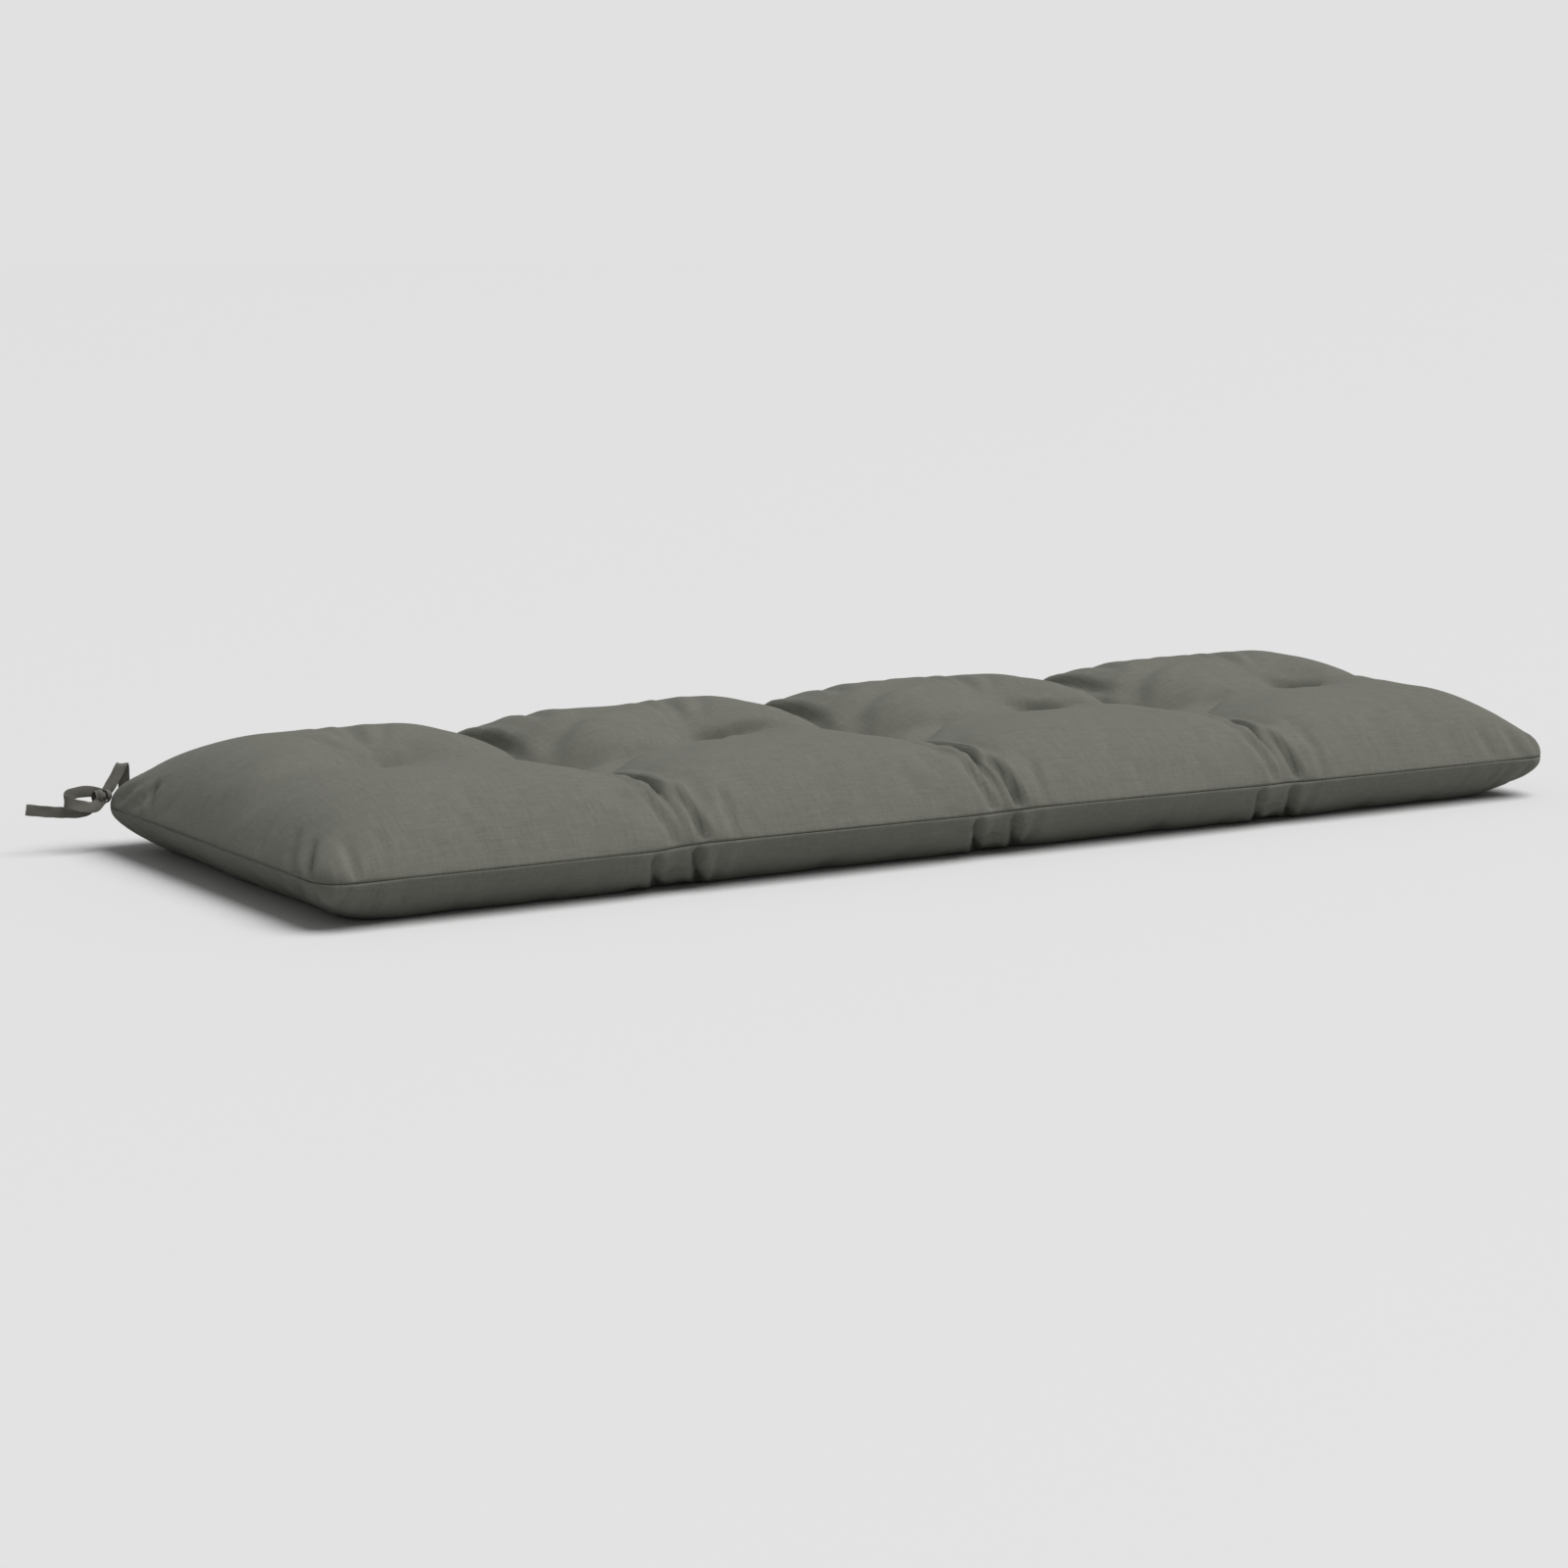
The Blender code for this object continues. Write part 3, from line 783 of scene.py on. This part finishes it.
def wovenMaterial(name, look):
    material = newMaterial(name, look["light"], look["roughness"])
    nodes, links = material.node_tree.nodes, material.node_tree.links
    shader = nodes["Principled BSDF"]
    shader.inputs["Sheen Weight"].default_value = look["sheen"]
    shader.inputs["Sheen Roughness"].default_value = weave["sheenRoughness"]
    shader.inputs["Specular IOR Level"].default_value = look["specular"]

    def maths(operation, a, b=None, c=None):
        node = nodes.new("ShaderNodeMath")
        node.operation = operation
        for socket, value in zip(node.inputs, (a, b, c)):
            if value is None:
                continue
            if isinstance(value, (int, float)):
                socket.default_value = value
            else:
                links.new(value, socket)
        return node.outputs[0]

    def stretchedNoise(place, scale, detail):
        mapping = nodes.new("ShaderNodeMapping")
        mapping.inputs["Scale"].default_value = (*scale, 1)
        links.new(place, mapping.inputs["Vector"])
        noise = nodes.new("ShaderNodeTexNoise")
        noise.inputs["Scale"].default_value = 1.0
        noise.inputs["Detail"].default_value = detail
        noise.inputs["Roughness"].default_value = 0.6
        links.new(mapping.outputs[0], noise.inputs["Vector"])
        return noise.outputs["Fac"]

    place = nodes.new("ShaderNodeUVMap")
    place.uv_map = "cloth"
    split = nodes.new("ShaderNodeSeparateXYZ")
    links.new(place.outputs[0], split.inputs[0])
    warp = maths("DIVIDE", split.outputs[0], look["thread"])
    weft = maths("DIVIDE", split.outputs[1], look["thread"])
    over = maths("PINGPONG", maths("ADD", maths("FLOOR", warp), maths("FLOOR", weft)), 1.0)
    warpCrown = maths("ABSOLUTE", maths("SINE", maths("MULTIPLY", warp, math.pi)))
    weftCrown = maths("ABSOLUTE", maths("SINE", maths("MULTIPLY", weft, math.pi)))
    warpOver = maths("MULTIPLY", warpCrown, maths("POWER", weftCrown, weave["round"]))
    weftOver = maths("MULTIPLY", weftCrown, maths("POWER", warpCrown, weave["round"]))
    crown = maths("ADD", maths("MULTIPLY", warpOver, over),
                  maths("MULTIPLY", weftOver, maths("SUBTRACT", 1.0, over)))
    # each thread is spun from light and dark fibre, with a few thick and thin places
    warpFibre = stretchedNoise(place.outputs[0], weave["fibre"][::-1], 3)
    weftFibre = stretchedNoise(place.outputs[0], weave["fibre"], 3)
    fibre = maths("ADD", maths("MULTIPLY", warpFibre, over),
                  maths("MULTIPLY", weftFibre, maths("SUBTRACT", 1.0, over)))
    slub = maths("ADD", stretchedNoise(place.outputs[0], weave["slub"][::-1], 2),
                 stretchedNoise(place.outputs[0], weave["slub"], 2))
    cloudy = stretchedNoise(place.outputs[0], weave["cloud"], 2)
    fibrePart = maths("MULTIPLY_ADD", maths("SUBTRACT", fibre, 0.5), weave["fibrePart"], weave["middle"])
    slubPart = maths("MULTIPLY", maths("SUBTRACT", slub, 1.0), weave["slubPart"])
    # painted shade: the colour darkens where the weave's crown is low, in the hollows between the threads
    weaveHollowShade = maths("MULTIPLY", maths("SUBTRACT", crown, 0.5), weave["weaveHollowShade"])
    cloudPart = maths("MULTIPLY", maths("SUBTRACT", cloudy, 0.5), weave["cloudPart"])
    mixAmount = maths("ADD", fibrePart, maths("ADD", slubPart, maths("ADD", weaveHollowShade, cloudPart)))
    colour = nodes.new("ShaderNodeMix")
    colour.data_type = "RGBA"
    colour.inputs[6].default_value = (*look["dark"], 1)
    colour.inputs[7].default_value = (*look["light"], 1)
    links.new(mixAmount, colour.inputs[0])
    links.new(colour.outputs[2], shader.inputs["Base Color"])
    smoothest = look["roughness"] - weave["roughnessRange"] / 2
    links.new(maths("MULTIPLY_ADD", fibre, weave["roughnessRange"], smoothest), shader.inputs["Roughness"])
    bump = nodes.new("ShaderNodeBump")
    bump.inputs["Strength"].default_value = weave["bump"]
    bump.inputs["Distance"].default_value = look["relief"]
    links.new(maths("ADD", crown, maths("MULTIPLY", slub, weave["slubRelief"])), bump.inputs["Height"])
    links.new(bump.outputs[0], shader.inputs["Normal"])
    return material


cover.data.materials.append(wovenMaterial("melangeCloth", clothLook))
tapeCloth = wovenMaterial("wovenTape", tapeLook)
for piece in ties:
    piece.data.materials.append(tapeCloth)
print("finishes are on")


# light and floor
studio = {
    "floor": 0.56, "floorRoughness": 0.8, "floorHalf": 30,
    "sky": 0.30,
    "backdrop": 0.753,        # as bright as the floor looks, so that no edge shows between them
    "key": 3.75, "keyFrom": (0.36, -0.26, 0.90),
    "softness": 50,           # degrees
}
# place in metres, angles in degrees, lens and sensor in millimetres
view = {"at": (-1.9447, -2.9930, 0.6064), "down": 9.07, "turn": 31.86, "lens": 84.07, "sensor": 36}


def makeStudio():
    mesh = bpy.data.meshes.new("floor")
    half = studio["floorHalf"]
    edges = [(-half, -half, 0), (half, -half, 0), (half, half, 0), (-half, half, 0)]
    mesh.from_pydata(edges, [], [(0, 1, 2, 3)])
    mesh.materials.append(newMaterial("floorPaint", [studio["floor"]] * 3, studio["floorRoughness"]))
    floor = bpy.data.objects.new("floor", mesh)
    scene.collection.objects.link(floor)
    world = bpy.data.worlds.new("studio")
    scene.world = world
    world.use_nodes = True
    nodes, links = world.node_tree.nodes, world.node_tree.links
    dim = nodes["Background"]
    dim.inputs["Strength"].default_value = studio["sky"]
    dim.inputs["Color"].default_value = (1, 1, 1, 1)
    wall = nodes.new("ShaderNodeBackground")
    wall.inputs["Strength"].default_value = studio["backdrop"]
    wall.inputs["Color"].default_value = (1, 1, 1, 1)
    path, mix = nodes.new("ShaderNodeLightPath"), nodes.new("ShaderNodeMixShader")
    links.new(path.outputs["Is Camera Ray"], mix.inputs[0])
    links.new(dim.outputs[0], mix.inputs[1])
    links.new(wall.outputs[0], mix.inputs[2])
    links.new(mix.outputs[0], nodes["World Output"].inputs["Surface"])
    key = bpy.data.lights.new("key", "SUN")
    key.energy = studio["key"]
    key.angle = math.radians(studio["softness"])
    lamp = bpy.data.objects.new("key", key)
    lamp.rotation_mode = "QUATERNION"
    lamp.rotation_quaternion = Vector(studio["keyFrom"]).to_track_quat("Z", "Y")
    scene.collection.objects.link(lamp)


def makeCamera():
    lens = bpy.data.cameras.new("camera")
    lens.lens = view["lens"]
    lens.sensor_width = view["sensor"]
    camera = bpy.data.objects.new("camera", lens)
    camera.location = view["at"]
    camera.rotation_euler = (math.radians(90 - view["down"]), 0, -math.radians(view["turn"]))
    scene.collection.objects.link(camera)
    scene.camera = camera
    scene.view_settings.view_transform = "Standard"


makeStudio()
makeCamera()
print("light, floor and camera are in place")
bpy.context.view_layer.update()
